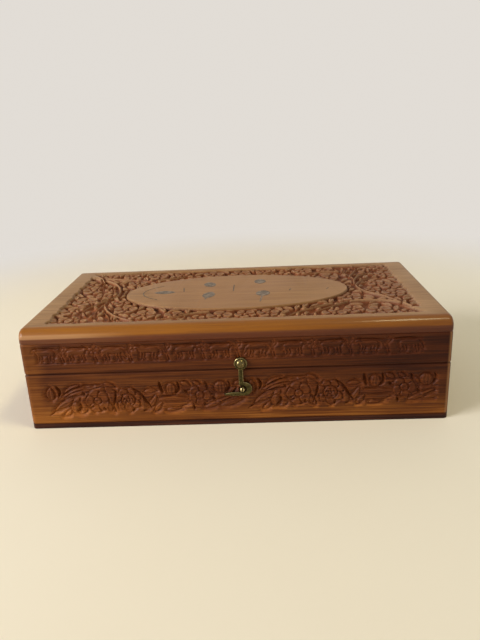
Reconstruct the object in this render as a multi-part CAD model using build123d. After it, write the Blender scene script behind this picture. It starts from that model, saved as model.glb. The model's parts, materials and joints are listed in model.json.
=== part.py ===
from build123d import *
from math import acos, asin, atan2, cos, hypot, radians, sin, tan
import os

# A carved wooden keepsake box: four mitred base walls on a thin bottom board, a lid of four mitred
# walls under a thick board with rounded edges, two brass butt hinges, brass inlay and a hook latch.
# Millimetres. Origin: middle of the underside. +X: along the front to the right, -Y: the front.

# Box
box_length = 256.0
box_depth = 140.0
box_height = 65.0
seam_height = 36.4        # middle of the seam between base and lid, and height of the hinge pins
seam_gap = 0.3
corner_radius = 3.0       # upright corners, and the upper edges of the lid board's ends

# Boards
bottom_thickness = 3.2
wall_thickness = 10.0
top_thickness = 9.0
edge_radius = 6.5         # rounded upper edges of the lid board along front and back

# Sunk field of the lid board, with an oval medallion left standing in it
field_end_margin = 13.5
field_front_margin = 11.5
field_back_margin = 10.0
field_depth = 3.0
field_corner = 2.0
medallion_half_length = 76.2
medallion_half_width = 40.0

# Brass inlay in the medallion
inlay_depth = 0.8
inlay_clearance = 0.05
wire_width = 0.6
wire_oval_inset = 11.5    # the wire oval runs this far inside the medallion's edge
wire_arc_reach = 12.0     # how far the left wire arc comes in from the oval's end
# name: x and y of the middle from the medallion's centre, direction, length, width, stem length
leaf_layout = {
    "left": (-50.0, 0.0, 178.0, 15.0, 7.6, 0.0),
    "back_left": (-19.5, 16.5, 104.0, 13.0, 8.6, 0.0),
    "front_left": (-18.5, -9.5, 80.0, 15.0, 8.4, 3.0),
    "back_right": (16.5, 20.5, 88.0, 12.0, 8.4, 0.0),
    "front_right": (18.3, -9.5, 84.0, 13.0, 9.6, 12.0),
}
stem_width = 1.0
# x, y of the middle from the medallion's centre, direction and length of the short straight wires
wire_layout = [
    (-37.0, 5.0, 96.0, 9.0),
    (-2.0, 6.0, 90.0, 16.0),
    (37.0, -2.5, 76.0, 5.0),
    (62.5, -3.0, 62.0, 4.0),
]

# Butt hinges, let into the rims of the back walls
hinge_length = 25.0
hinge_inset = 46.0        # from each end of the box to the middle of its hinge
hinge_setback = 1.6       # pin axis inside the back face
leaf_margin = 0.8         # wood left between the free edge of a leaf and the inside of the wall
leaf_thickness = 0.9
knuckle_count = 3
knuckle_radius = 1.9
knuckle_clearance = 0.25
knuckle_end_gap = 0.1
pin_radius = 0.8
pin_clearance = 0.05
pin_overhang = 0.5
hinge_screw_spacing = 15.0
hinge_screw_length = 8.0
hinge_screw_radius = 0.95
hinge_screw_head_radius = 1.75

# Back edges of both rims are bevelled, so that the open lid leans just past upright and stops
lid_open_angle = 100.0
bevel_spare_angle = 4.0

# Hook latch: plate, pivot screw in the lid, stud in the base
latch_x = 3.6
pivot_rise = 4.0          # pivot above the seam
hook_thickness = 1.4
hook_standoff = 0.3       # running gap between hook and wood
hook_play = 0.15          # between hook and the pivot screw's head
eye_radius = 3.9
shank_width = 2.6
shank_shift = -0.1        # shank's middle line beside the pivot
catch_shift = 0.5         # inside of the catch and the stud, beside the pivot
catch_back_shift = 1.3    # outside of the catch beside its inside
catch_drop = 16.4
catch_outer_radius = 4.4
catch_inner_radius = 2.3
mouth_clearance = 0.6     # beside the stud's neck as it leaves the catch
tail_reach = 10.7         # from the pivot's upright to the tail's tip
tail_width = 2.4
tail_tip_width = 1.0
tail_rise = 1.75          # the tip lies this much above the tail's underside
tail_knee = 5.4           # from the pivot's upright to the start of the outward bend
tail_bend_radius = 10.5
tail_bend_angle = 30.0
hook_corner_radius = 0.35
pivot_radius = 1.2
pivot_clearance = 0.06
pivot_head_radius = 2.9
pivot_head_height = 1.8
stud_radius = 1.5
stud_head_radius = 1.85
stud_head_height = 1.3
stud_head_gap = 0.3       # between the hook's face and the stud's head
stud_slot_width = 0.7
stud_slot_depth = 0.7
stud_slot_angle = 78.0
latch_screw_depth = 7.0   # length of pivot screw and stud inside the wood

hole_clearance = 0.05     # round screws in the wood and in the hinge leaves

# Worked-out places
half_length = box_length / 2
half_depth = box_depth / 2
board_underside = box_height - top_thickness
base_rim = seam_height - seam_gap / 2
lid_rim = seam_height + seam_gap / 2
pin_y = half_depth - hinge_setback
leaf_width = wall_thickness - hinge_setback - leaf_margin  # from the pin axis
knuckle_room = knuckle_radius + knuckle_clearance
hinge_screw_setback = (knuckle_room + leaf_width) / 2
pivot_height = seam_height + pivot_rise
bevel_angle = (lid_open_angle + bevel_spare_angle) / 2
knuckle_pitch = hinge_length / knuckle_count
hinge_centres = {"left": hinge_inset - half_length, "right": half_length - hinge_inset}
field_length = box_length - 2 * field_end_margin
field_width = box_depth - field_front_margin - field_back_margin
medallion_y = (field_front_margin - field_back_margin) / 2
catch_radius = hypot(catch_shift, catch_drop)


def cylinder_x(radius, length):
    """Cylinder along X, centred."""
    return Rot(0, 90, 0) * Cylinder(radius, length)


def front_plane(x, z):
    """Plane on the box's front face, looking outwards, with its local Y upright."""
    return Plane(origin=(x, -half_depth, z), x_dir=(1, 0, 0), z_dir=(0, -1, 0))


def prism(sketch, low, high):
    """Upright prism of a plan outline from height low to height high."""
    return Pos(0, 0, low) * extrude(sketch, high - low)


def plan_outline():
    return RectangleRounded(box_length, box_depth, corner_radius)


def dome(radius, height):
    """Spherical cap standing on Z = 0."""
    sphere_radius = (radius**2 + height**2) / (2 * height)
    ball = Pos(0, 0, height - sphere_radius) * Sphere(sphere_radius)
    return ball & Pos(0, 0, height / 2) * Cylinder(radius, height)


# ---- walls and boards ----


def mitre_outlines():
    """Plan outline of each wall, cut at 45 degrees in the corners."""
    x, y = half_length, half_depth
    inner_x, inner_y = x - wall_thickness, y - wall_thickness
    corners = {
        "front": [(-x, -y), (x, -y), (inner_x, -inner_y), (-inner_x, -inner_y)],
        "back": [(x, y), (-x, y), (-inner_x, inner_y), (inner_x, inner_y)],
        "left": [(-x, y), (-x, -y), (-inner_x, -inner_y), (-inner_x, inner_y)],
        "right": [(x, -y), (x, y), (inner_x, inner_y), (inner_x, -inner_y)],
    }
    return {side: Polygon(*points, align=None) for side, points in corners.items()}


def rim_bevel(direction):
    """Wedge behind the pin axis: direction 1 cuts the lid's rim, -1 the base's."""
    reach = hinge_setback + 1
    rise = direction * reach * tan(radians(bevel_angle))
    wedge = Polygon((0, 0), (reach, 0), (reach, rise), align=None)
    return Pos(0, pin_y, seam_height) * extrude(Plane.YZ * wedge, half_length + 1, both=True)


def hinge_pocket(centre_x, direction):
    """Room for one leaf and for the turning knuckles in the rim of a back wall."""
    leaf_z = direction * (seam_gap + leaf_thickness) / 2
    leaf_room = Pos(0, -leaf_width / 2, leaf_z) * Box(hinge_length, leaf_width, leaf_thickness)
    barrel_length = hinge_length + 2 * (pin_overhang + knuckle_clearance)
    barrel_room = cylinder_x(knuckle_room, barrel_length)
    return Pos(centre_x, pin_y, seam_height) * (leaf_room + barrel_room)


def walls(low, high, direction):
    """The four walls of the base (direction -1) or of the lid (direction 1)."""
    block = prism(plan_outline(), low, high)
    made = {}
    for side, outline in mitre_outlines().items():
        wall = block & prism(outline, low, high)
        if side != "front":
            wall -= rim_bevel(direction)
        if side == "back":
            for centre_x in hinge_centres.values():
                wall -= hinge_pocket(centre_x, direction)
                for screw in hinge_screws(centre_x, direction, hole_clearance):
                    wall -= screw
        made[side] = wall
    return made


def lid_board():
    """Board with its upper edges rounded, the sunk field and pockets for the inlay."""
    section = Pos(0, board_underside + top_thickness / 2) * Rectangle(box_depth, top_thickness)
    section = fillet(section.vertices().sort_by(Axis.Y)[-2:], edge_radius)
    board = extrude(Plane.YZ * section, half_length, both=True)
    # The small rounding runs round each end, up one corner, over the top and down the other.
    ends = board.faces().sort_by(Axis.X)
    rims = (ends[0].edges() + ends[-1].edges()).sort_by(Axis.Z)
    board = fillet(rims[2:], corner_radius)
    field = RectangleRounded(field_length, field_width, field_corner)
    field -= Ellipse(medallion_half_length, medallion_half_width)
    board -= Pos(0, medallion_y) * prism(field, box_height - field_depth, box_height)
    for outline in leaf_outlines(inlay_clearance).values():
        board -= inlay_solid(outline)
    for outline in wire_outlines(inlay_clearance):
        board -= inlay_solid(outline)
    return board


# ---- inlay ----


def inlay_solid(outline):
    """Flush brass piece (or its pocket) of an outline drawn about the medallion's centre."""
    return Pos(0, medallion_y) * prism(outline, box_height - inlay_depth, box_height)


def leaf_outlines(grow=0.0):
    """Pointed leaves, some with a stem; grow widens them all round to make their pockets."""
    outlines = {}
    for name, (x, y, direction, length, width, stem) in leaf_layout.items():
        tip = length / 2 + grow
        belly = width / 2 + grow
        upper = ThreePointArc((-tip, 0), (0, belly), (tip, 0))
        lower = ThreePointArc((tip, 0), (0, -belly), (-tip, 0))
        outline = make_face([upper, lower])
        if stem:
            reach = tip + stem
            outline += Pos(-reach / 2, 0) * Rectangle(reach, stem_width + 2 * grow)
        outlines[name] = Pos(x, y) * Rot(0, 0, direction) * outline
    return outlines


def wire_outlines(grow=0.0):
    """A wire arc round the left end of the medallion and a few short straight wires."""
    width = wire_width + 2 * grow
    long_axis = medallion_half_length - wire_oval_inset
    short_axis = medallion_half_width - wire_oval_inset
    outer = Ellipse(long_axis + width / 2, short_axis + width / 2)
    ring = outer - Ellipse(long_axis - width / 2, short_axis - width / 2)
    window = Pos(-long_axis, 0) * Rectangle(2 * (wire_arc_reach + grow), 2 * short_axis)
    outlines = [ring & window]
    for x, y, direction, length in wire_layout:
        strip = Rectangle(length + 2 * grow, width)
        outlines.append(Pos(x, y) * Rot(0, 0, direction) * strip)
    return outlines


# ---- hinges ----


def hinge_leaf(direction):
    """Leaf with its knuckles about the pin axis: direction 1 is the lid's leaf, -1 the base's."""
    plate_back = knuckle_radius / 2
    plate = Box(hinge_length, leaf_width - plate_back, leaf_thickness)
    leaf_z = direction * (seam_gap + leaf_thickness) / 2
    leaf = Pos(0, -(leaf_width + plate_back) / 2, leaf_z) * plate
    first_own = 1 if direction > 0 else 0
    for i in range(knuckle_count):
        middle = (i + 0.5) * knuckle_pitch - hinge_length / 2
        own = i % 2 == first_own
        if own:
            # Inner ends stand back from the neighbouring knuckle, outer ends are flush with the leaf.
            low_gap = knuckle_end_gap if i > 0 else 0
            high_gap = knuckle_end_gap if i < knuckle_count - 1 else 0
            knuckle = cylinder_x(knuckle_radius, knuckle_pitch - low_gap - high_gap)
            leaf += Pos(middle + (low_gap - high_gap) / 2, 0, 0) * knuckle
        else:
            leaf -= Pos(middle, 0, 0) * cylinder_x(knuckle_room, knuckle_pitch)
    leaf -= cylinder_x(pin_radius + pin_clearance, hinge_length)
    for screw in hinge_screws(0, direction, hole_clearance):
        leaf -= Pos(0, -pin_y, -seam_height) * screw
    return leaf


def hinge_screws(centre_x, direction, grow=0.0):
    """Countersunk screws of one leaf; grow widens them to make their holes."""
    head_height = leaf_thickness
    shank_length = hinge_screw_length - head_height
    # The cone is drawn with its wide end on Z = 0, flush with the leaf, and runs into the wood.
    head = Pos(0, 0, head_height / 2) * Cone(
        hinge_screw_head_radius + grow, hinge_screw_radius + grow, head_height
    )
    shank = Pos(0, 0, head_height + shank_length / 2) * Cylinder(
        hinge_screw_radius + grow, shank_length
    )
    screw = head + shank
    if direction < 0:
        screw = Rot(180, 0, 0) * screw
    face = seam_height + direction * seam_gap / 2
    spots = (-hinge_screw_spacing / 2, hinge_screw_spacing / 2)
    return [Pos(centre_x + x, pin_y - hinge_screw_setback, face) * screw for x in spots]


# ---- latch ----


def from_pivot(radius, angle):
    """Point about the hook's pivot, its angle in radians from straight down, positive to the right."""
    return (radius * sin(angle), -radius * cos(angle))


def below_on_circle(x, radius):
    """Height below a circle's centre at which its lower half passes x."""
    return -((radius**2 - x**2) ** 0.5)


def hook_outline():
    """Hook seen from the front, about its pivot: eye, shank, C-shaped catch and tail."""
    shank_left = shank_shift - shank_width / 2
    shank_right = shank_shift + shank_width / 2
    underside = -catch_drop - catch_outer_radius
    catch_back = catch_shift + catch_back_shift
    tail_top = underside + tail_width
    tip_middle = underside + tail_rise
    # The stud leaves the catch on a circle about the pivot, so both lips of the mouth are its arcs.
    reach = stud_radius + mouth_clearance
    upper_lip = catch_radius - reach
    lower_lip = catch_radius + reach
    catch_angle = atan2(catch_shift, catch_drop)

    def lip_angle(lip):
        """Direction from the pivot in which a lip meets the inside of the catch."""
        cosine = (lip**2 + catch_radius**2 - catch_inner_radius**2) / (2 * lip * catch_radius)
        return catch_angle - acos(cosine)

    eye_left = (shank_left, below_on_circle(shank_left, eye_radius))
    eye_right = (shank_right, below_on_circle(shank_right, eye_radius))
    catch_top_y = -catch_drop - below_on_circle(shank_right - catch_back, catch_outer_radius)
    catch_top = (shank_right, catch_top_y)
    catch_side = (catch_back + catch_outer_radius, -catch_drop)
    catch_bottom = (catch_back, underside)
    tip_low = (-tail_reach, tip_middle - tail_tip_width / 2)
    tip_high = (-tail_reach, tip_middle + tail_tip_width / 2)
    tail_end_angle = -acos(-tail_top / lower_lip)
    lower_start = from_pivot(lower_lip, tail_end_angle)
    lower_middle = from_pivot(lower_lip, (tail_end_angle + lip_angle(lower_lip)) / 2)
    lower_end = from_pivot(lower_lip, lip_angle(lower_lip))
    inside = (catch_shift + catch_inner_radius, -catch_drop)
    upper_start = from_pivot(upper_lip, lip_angle(upper_lip))
    shank_angle = asin(shank_left / upper_lip)
    upper_middle = from_pivot(upper_lip, (lip_angle(upper_lip) + shank_angle) / 2)
    upper_end = from_pivot(upper_lip, shank_angle)
    outline = make_face(
        [
            ThreePointArc(eye_left, (0, eye_radius), eye_right),
            Line(eye_right, catch_top),
            ThreePointArc(catch_top, catch_side, catch_bottom),
            Polyline(catch_bottom, (-tail_knee, underside), tip_low, tip_high),
            Line(tip_high, lower_start),
            ThreePointArc(lower_start, lower_middle, lower_end),
            ThreePointArc(lower_end, inside, upper_start),
            ThreePointArc(upper_start, upper_middle, upper_end),
            Line(upper_end, eye_left),
        ]
    )
    corners = [v for v in outline.vertices() if abs(v.X - catch_back) > 0.01]
    outline = fillet(corners, hook_corner_radius)
    return outline - Circle(pivot_radius + pivot_clearance)


def hook_side_profile():
    """Plate seen from above: flat, with the tail's end bent outwards for the finger."""
    flat_length = tail_knee + catch_shift + catch_back_shift + catch_outer_radius + 1
    flat = Pos(flat_length / 2 - tail_knee, -hook_thickness / 2) * Rectangle(
        flat_length, hook_thickness
    )
    ring = Circle(tail_bend_radius) - Circle(tail_bend_radius - hook_thickness)
    far = 2 * tail_bend_radius
    end_x = far * sin(radians(tail_bend_angle))
    end_y = far * cos(radians(tail_bend_angle))
    wedge = Polygon((0, 0), (0, far), (-end_x, end_y), align=None)
    bend = Pos(-tail_knee, -tail_bend_radius) * (ring & wedge)
    return flat + bend


def latch_hook():
    """Plate cut to the outline, with the tail's end bent outwards."""
    plane = front_plane(latch_x, pivot_height)
    slab = extrude(plane * hook_outline(), hook_standoff + 2 * tail_bend_radius)
    profile = Pos(latch_x, -half_depth - hook_standoff) * hook_side_profile()
    return slab & prism(profile, 0, box_height)


def latch_pivot_screw(grow=0.0):
    """Round-head screw that the hook turns on; grow widens its shank to make its hole."""
    under_head = hook_standoff + hook_thickness + hook_play
    length = latch_screw_depth + under_head
    shank = Pos(0, 0, under_head - length / 2) * Cylinder(pivot_radius + grow, length)
    head = Pos(0, 0, under_head) * dome(pivot_head_radius, pivot_head_height)
    return front_plane(latch_x, pivot_height) * (shank + head)


def latch_stud(grow=0.0):
    """Slotted round-head screw that the catch closes round."""
    under_head = hook_standoff + hook_thickness + stud_head_gap
    length = latch_screw_depth + under_head
    neck = Pos(0, 0, under_head - length / 2) * Cylinder(stud_radius + grow, length)
    head = Pos(0, 0, under_head) * dome(stud_head_radius, stud_head_height)
    slot_z = under_head + stud_head_height - stud_slot_depth / 2
    slot = Pos(0, 0, slot_z) * Box(3 * stud_head_radius, stud_slot_width, stud_slot_depth)
    head -= Rot(0, 0, stud_slot_angle) * slot
    plane = front_plane(latch_x + catch_shift, pivot_height - catch_drop)
    return plane * (neck + head)


# ---- assembly ----

parts = {}

base_walls = walls(bottom_thickness, base_rim, -1)
lid_walls = walls(lid_rim, board_underside, 1)
base_walls["front"] -= latch_stud(hole_clearance)
lid_walls["front"] -= latch_pivot_screw(hole_clearance)

for side, wall in base_walls.items():
    parts[f"base_{side}_wall"] = wall
for side, wall in lid_walls.items():
    parts[f"lid_{side}_wall"] = wall
parts["bottom_board"] = prism(plan_outline(), 0, bottom_thickness)
parts["lid_top_board"] = lid_board()

for name, outline in leaf_outlines().items():
    parts[f"inlay_leaf_{name}"] = inlay_solid(outline)
parts["inlay_wires"] = Compound([inlay_solid(outline).solid() for outline in wire_outlines()])

base_screws = []
lid_screws = []
for name, centre_x in hinge_centres.items():
    place = Pos(centre_x, pin_y, seam_height)
    parts[f"hinge_{name}_lower_leaf"] = place * hinge_leaf(-1)
    parts[f"hinge_{name}_upper_leaf"] = place * hinge_leaf(1)
    parts[f"hinge_{name}_pin"] = place * cylinder_x(pin_radius, hinge_length + 2 * pin_overhang)
    base_screws += hinge_screws(centre_x, -1)
    lid_screws += hinge_screws(centre_x, 1)
parts["hinge_screws_base"] = Compound([screw.solid() for screw in base_screws])
parts["hinge_screws_lid"] = Compound([screw.solid() for screw in lid_screws])

parts["latch_hook"] = latch_hook()
parts["latch_pivot_screw"] = latch_pivot_screw()
parts["latch_stud"] = latch_stud()

os.makedirs("parts", exist_ok=True)
for name, shape in parts.items():
    export_step(shape, f"parts/{name}.step")
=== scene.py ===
import json
from math import atan2, cos, hypot, pi, radians, sin

import bpy
import numpy as np
from mathutils import Matrix, Vector

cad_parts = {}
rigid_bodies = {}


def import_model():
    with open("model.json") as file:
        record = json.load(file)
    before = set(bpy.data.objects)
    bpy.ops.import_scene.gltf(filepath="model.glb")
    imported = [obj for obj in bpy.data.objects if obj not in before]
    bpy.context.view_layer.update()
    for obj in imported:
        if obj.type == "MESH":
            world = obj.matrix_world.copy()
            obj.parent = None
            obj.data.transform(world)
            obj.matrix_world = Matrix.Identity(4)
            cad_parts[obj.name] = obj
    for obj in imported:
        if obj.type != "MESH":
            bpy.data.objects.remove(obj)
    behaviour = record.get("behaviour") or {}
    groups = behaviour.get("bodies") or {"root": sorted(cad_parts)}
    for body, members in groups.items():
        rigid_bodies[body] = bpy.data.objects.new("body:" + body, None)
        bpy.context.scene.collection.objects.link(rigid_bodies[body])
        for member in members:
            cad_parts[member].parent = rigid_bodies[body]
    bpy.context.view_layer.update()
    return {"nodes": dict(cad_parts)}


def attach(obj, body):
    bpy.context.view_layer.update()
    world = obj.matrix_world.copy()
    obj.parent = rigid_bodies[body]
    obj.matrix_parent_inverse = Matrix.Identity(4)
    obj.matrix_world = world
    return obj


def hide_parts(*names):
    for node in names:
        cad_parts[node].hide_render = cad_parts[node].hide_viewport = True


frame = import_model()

mm = 0.001
nodes = frame["nodes"]
bpy.ops.object.select_all(action="DESELECT")

# ---- camera ----
# A hand-held camera a little above the box, standing slightly right of its middle, tilted down
# and rolled a touch. Its frame is taller than wide.
camera_place = Vector((17.78, -392.08, 179.02)) * mm
camera_turn = 0.041272
camera_pitch = 0.333276
camera_roll = 0.046480
camera_data = bpy.data.cameras.new("camera")
camera_data.sensor_width = 36.0
camera_data.lens = 33.17
camera = bpy.data.objects.new("camera", camera_data)
bpy.context.scene.collection.objects.link(camera)
aim = Matrix.Rotation(camera_turn, 4, "Z") @ Matrix.Rotation(pi / 2 - camera_pitch, 4, "X")
camera.matrix_world = Matrix.Translation(camera_place) @ aim @ Matrix.Rotation(-camera_roll, 4, "Z")
bpy.context.scene.camera = camera
bpy.context.scene.view_settings.view_transform = "Standard"


# ---- floor, backdrop and light ----
# A pale cloth that sweeps up behind the box and fades into a pale haze, a large soft window light
# from the left, a small warm lamp high on the right and a dim white room all round.
class Shade:
    """A value in a material's node tree. Sums on it add their Math nodes."""

    def __init__(self, socket):
        self.socket = socket

    def node(self, kind, settings, sockets, output=0):
        """Adds a node: its settings first, then the values or links of its sockets."""
        made = self.socket.id_data.nodes.new(kind)
        stops = settings.pop("stops", None)
        for name, value in settings.items():
            setattr(made, name, value)
        if stops:
            ramp = made.color_ramp.elements
            while len(ramp) < len(stops):
                ramp.new(1.0)
            for element, (place, colour) in zip(ramp, stops):
                element.position = place
                element.color = colour
        for name, value in sockets.items():
            if isinstance(value, Shade):
                made.id_data.links.new(value.socket, made.inputs[name])
            else:
                made.inputs[name].default_value = value
        return Shade(made.outputs[output])

    def math(self, operation, *values):
        return self.node("ShaderNodeMath", {"operation": operation}, dict(enumerate(values)))

    def __add__(self, other):
        return self.math("ADD", self, other)

    def __sub__(self, other):
        return self.math("SUBTRACT", self, other)

    def __rsub__(self, other):
        return self.math("SUBTRACT", other, self)

    def __mul__(self, other):
        return self.math("MULTIPLY", self, other)

    def __abs__(self):
        return self.math("ABSOLUTE", self)

    __radd__ = __add__
    __rmul__ = __mul__

    def either(self, other):
        """The higher of two values."""
        return self.math("MAXIMUM", self, other)

    def axes(self):
        """The X, Y and Z of this vector."""
        split = self.node("ShaderNodeSeparateXYZ", {}, {"Vector": self}).socket.node
        return [Shade(socket) for socket in split.outputs]

    def step(self, low, high):
        """0 below low, 1 above high, smooth between."""
        return self.node(
            "ShaderNodeMapRange",
            {"interpolation_type": "SMOOTHSTEP"},
            {"Value": self, "From Min": low, "From Max": high},
        )

    def mix(self, first, second):
        """Colour between first, where this value is 0, and second, where it is 1."""
        return self.node("ShaderNodeMix", {"data_type": "RGBA"}, {0: self, 6: first, 7: second}, 2)

    def tint(self, colour):
        """This colour multiplied by another."""
        settings = {"data_type": "RGBA", "blend_type": "MULTIPLY"}
        return self.node("ShaderNodeMix", settings, {0: 1.0, 6: self, 7: colour}, 2)

    def wash(self, where, colour):
        """This colour, multiplied by another as far as where is 1."""
        return where.mix(self, self.tint(colour))

    def noise(self, scale, size, detail=2.0, rough=0.5, warp=0.0):
        """Noise on this vector, stretched by scale, with features of about size metres."""
        place = self.node("ShaderNodeMapping", {}, {"Vector": self, "Scale": scale})
        sockets = {"Vector": place, "Scale": 1 / size, "Detail": detail, "Roughness": rough}
        return self.node("ShaderNodeTexNoise", {}, {**sockets, "Distortion": warp})

    def carved(self, measure):
        """What a carved piece's mesh says of its cuts: their depth, or how hollow they are."""
        return self.node("ShaderNodeAttribute", {"attribute_name": measure}, {}, 2)

    def seen_directly(self):
        """1 where a camera, a mirror or glass looks, and 0 for light that falls on the object."""
        rays = self.node("ShaderNodeLightPath", {}, {}).socket.node.outputs
        seen = Shade(rays["Is Camera Ray"]).either(Shade(rays["Is Glossy Ray"]))
        return seen.either(Shade(rays["Is Transmission Ray"]))


def material(name, **constants):
    """A new material with one Principled shader; returns it, the shader and Object coordinates."""
    made = bpy.data.materials.new(name)
    made.use_nodes = True
    shader = made.node_tree.nodes["Principled BSDF"]
    for socket, value in constants.items():
        shader.inputs[socket.replace("_", " ")].default_value = value
    place = Shade(shader.outputs["BSDF"]).node("ShaderNodeTexCoord", {}, {}, "Object")
    return made, shader, place


def link(node, **values):
    """Links values to a node's sockets, whose names are given with _ for a space."""
    for socket, value in values.items():
        node.id_data.links.new(value.socket, node.inputs[socket.replace("_", " ")])


floor_size, backdrop_y, backdrop_high, sweep_width = 14.0, 1.1, 3.0, 0.35
bpy.ops.mesh.primitive_plane_add(size=floor_size, location=(0, backdrop_y - floor_size / 2, 0))
floor = bpy.context.object
floor.name = "floor"
bpy.ops.object.mode_set(mode="EDIT")
bpy.ops.mesh.select_all(action="DESELECT")
bpy.ops.object.mode_set(mode="OBJECT")
for edge in floor.data.edges:
    edge.select = all(floor.data.vertices[v].co.y > 0 for v in edge.vertices)
bpy.ops.object.mode_set(mode="EDIT")
bpy.ops.mesh.extrude_region_move(TRANSFORM_OT_translate={"value": (0, 0, backdrop_high)})
bpy.ops.object.mode_set(mode="OBJECT")
sweep = floor.modifiers.new("sweep", "BEVEL")
sweep.width = sweep_width
sweep.segments = 12
bpy.ops.object.modifier_apply(modifier=sweep.name)
bpy.ops.object.transform_apply()
bpy.ops.object.shade_smooth()
cloth, cloth_shader, place = material("pale_floor", Roughness=0.9)
weave = place.noise((1, 1, 1), 0.3, 3.0)
cloth_colour = weave.mix((0.86, 0.76, 0.61, 1), (0.89, 0.81, 0.68, 1))
across, _, rise = place.axes()
# Painted light: the cloth is lighter and yellower towards the right.
cloth_colour = across.step(0.02, 0.3).mix(cloth_colour, (0.93, 0.87, 0.77, 1))
cloth_colour = rise.step(0.0, 0.12).mix(cloth_colour, (0.86, 0.84, 0.81, 1))
link(cloth_shader, Base_Color=cloth_colour)

haze = (0.76, 0.72, 0.67, 1)
distance = place.node("ShaderNodeVectorMath", {"operation": "LENGTH"}, {0: place}, "Value")
veil = place.node("ShaderNodeEmission", {}, {"Color": haze})
far = distance.step(0.28, 0.58) * place.seen_directly()
cloth_surface = Shade(cloth_shader.outputs["BSDF"])
veiled = place.node("ShaderNodeMixShader", {}, {0: far, 1: cloth_surface, 2: veil})
link(cloth.node_tree.nodes["Material Output"], Surface=veiled)
floor.data.materials.append(cloth)

world = bpy.data.worlds.new("room")
bpy.context.scene.world = world
world.use_nodes = True
backdrop = world.node_tree.nodes["Background"]
room_light = (0.28, 0.276, 0.27, 1)
seen = Shade(backdrop.outputs["Background"]).seen_directly()
link(backdrop, Color=seen.mix(room_light, haze))
box_middle = Vector((0, 0, 0.03))


def area_light(name, place, size, power, colour=(1, 1, 1)):
    """A soft rectangular light of so many watts, turned towards the middle of the box."""
    lamp = bpy.data.lights.new(name, "AREA")
    lamp.shape = "RECTANGLE"
    lamp.size, lamp.size_y = size
    lamp.energy = power
    lamp.color = colour
    holder = bpy.data.objects.new(name, lamp)
    bpy.context.scene.collection.objects.link(holder)
    holder.location = place
    holder.rotation_euler = (Vector(place) - box_middle).to_track_quat("Z", "Y").to_euler()


area_light("window_left", (-1.15, -0.6, 0.6), (0.7, 0.7), 18)
area_light("lamp_right", (0.62, -0.35, 1.55), (0.4, 0.24), 6.8, colour=(1.0, 0.93, 0.55))


# ---- bottom board ----
# A thin hardwood board under the four walls, stained nearly black. It is glued to their lower
# edges, and its face is the inside floor of the box.
def wood(name, along, tones, streak=1.0):
    """Oiled hardwood with its grain along X (0) or Y (1); tones are dark, middle and light, and
    streak is how strongly they vary.

    Returns the material, its shader, Object coordinates, the colour and the bump's height."""
    made, shader, place = material(name, Specular_IOR_Level=0.16)
    coarse, fine, pore = [14.0] * 3, [60.0] * 3, [30.0] * 3
    coarse[along], fine[along], pore[along] = 1.0, 1.0, 1.0
    bands = place.noise(coarse, 0.11, 3.0, 0.55, 0.6)
    streaks = place.noise(fine, 0.055, 5.0, 0.7)
    cloud = place.noise((1, 1, 1), 0.06, 2.0)
    pores = place.noise(pore, 0.011, 2.0, 0.6).step(0.6, 0.74)
    tone = (bands - 0.5) * (0.7 * streak) + (streaks - 0.5) * (1.7 * streak) + cloud * 0.5 + 0.25
    dark, middle, light = tones
    stops = [(0.3, dark), (0.5, middle), (0.72, light)]
    colour = tone.node("ShaderNodeValToRGB", {"stops": stops}, {"Fac": tone})
    colour = (pores * 0.45).mix(colour, (0.02, 0.008, 0.004, 1))
    height = bands * 0.5 + streaks * 0.6 - pores * 0.5
    return made, shader, place, colour, height


def oil(shader, colour, height, rough=0.42):
    """Joins a wood's colour and grain to its shader, under a satin oil finish."""
    grain = {"Height": height, "Strength": 0.3, "Distance": 0.4 * mm}
    bump = height.node("ShaderNodeBump", {}, grain)
    link(shader, Base_Color=colour, Roughness=height * 0.12 + rough, Normal=bump)


stain = ((0.021, 0.0056, 0.0032, 1), (0.045, 0.011, 0.0054, 1), (0.078, 0.024, 0.011, 1))
dark_wood, shader, place, colour, height = wood("dark_wood", 0, stain)
oil(shader, colour, height, rough=0.5)


def paint(finish, *names):
    """Gives CAD nodes a finish."""
    for name in names:
        nodes[name].data.materials.clear()
        nodes[name].data.materials.append(finish)


paint(dark_wood, "bottom_board")


# ---- front and end walls of the base ----
# Hardwood boards 10 mm thick, glued at mitred corners. A scroll of leaves and flowers is cut
# into them with gouges, one and a half to two millimetres deep; old wax and painted shade darken
# the cuts.
net = 0.3


def smoothstep(value, low, high):
    """0 below low, 1 above high, smooth between."""
    t = np.clip((value - low) / (high - low), 0, 1)
    return t * t * (3 - 2 * t)


def smooth_line(points, steps=6):
    """Points of a smooth curve through the given ones."""
    ends = [points[0], *points, points[-1]]
    path = []
    for a, b, c, d in zip(ends, ends[1:], ends[2:], ends[3:]):
        for k in range(steps):
            t = k / steps
            weights = (
                -t + 2 * t**2 - t**3,
                2 - 5 * t**2 + 3 * t**3,
                t + 4 * t**2 - 3 * t**3,
                t**3 - t**2,
            )
            pairs = list(zip(weights, (a, b, c, d)))
            path.append(tuple(sum(w * p[i] for w, p in pairs) / 2 for i in (0, 1)))
    return path + [tuple(points[-1])]


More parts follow.
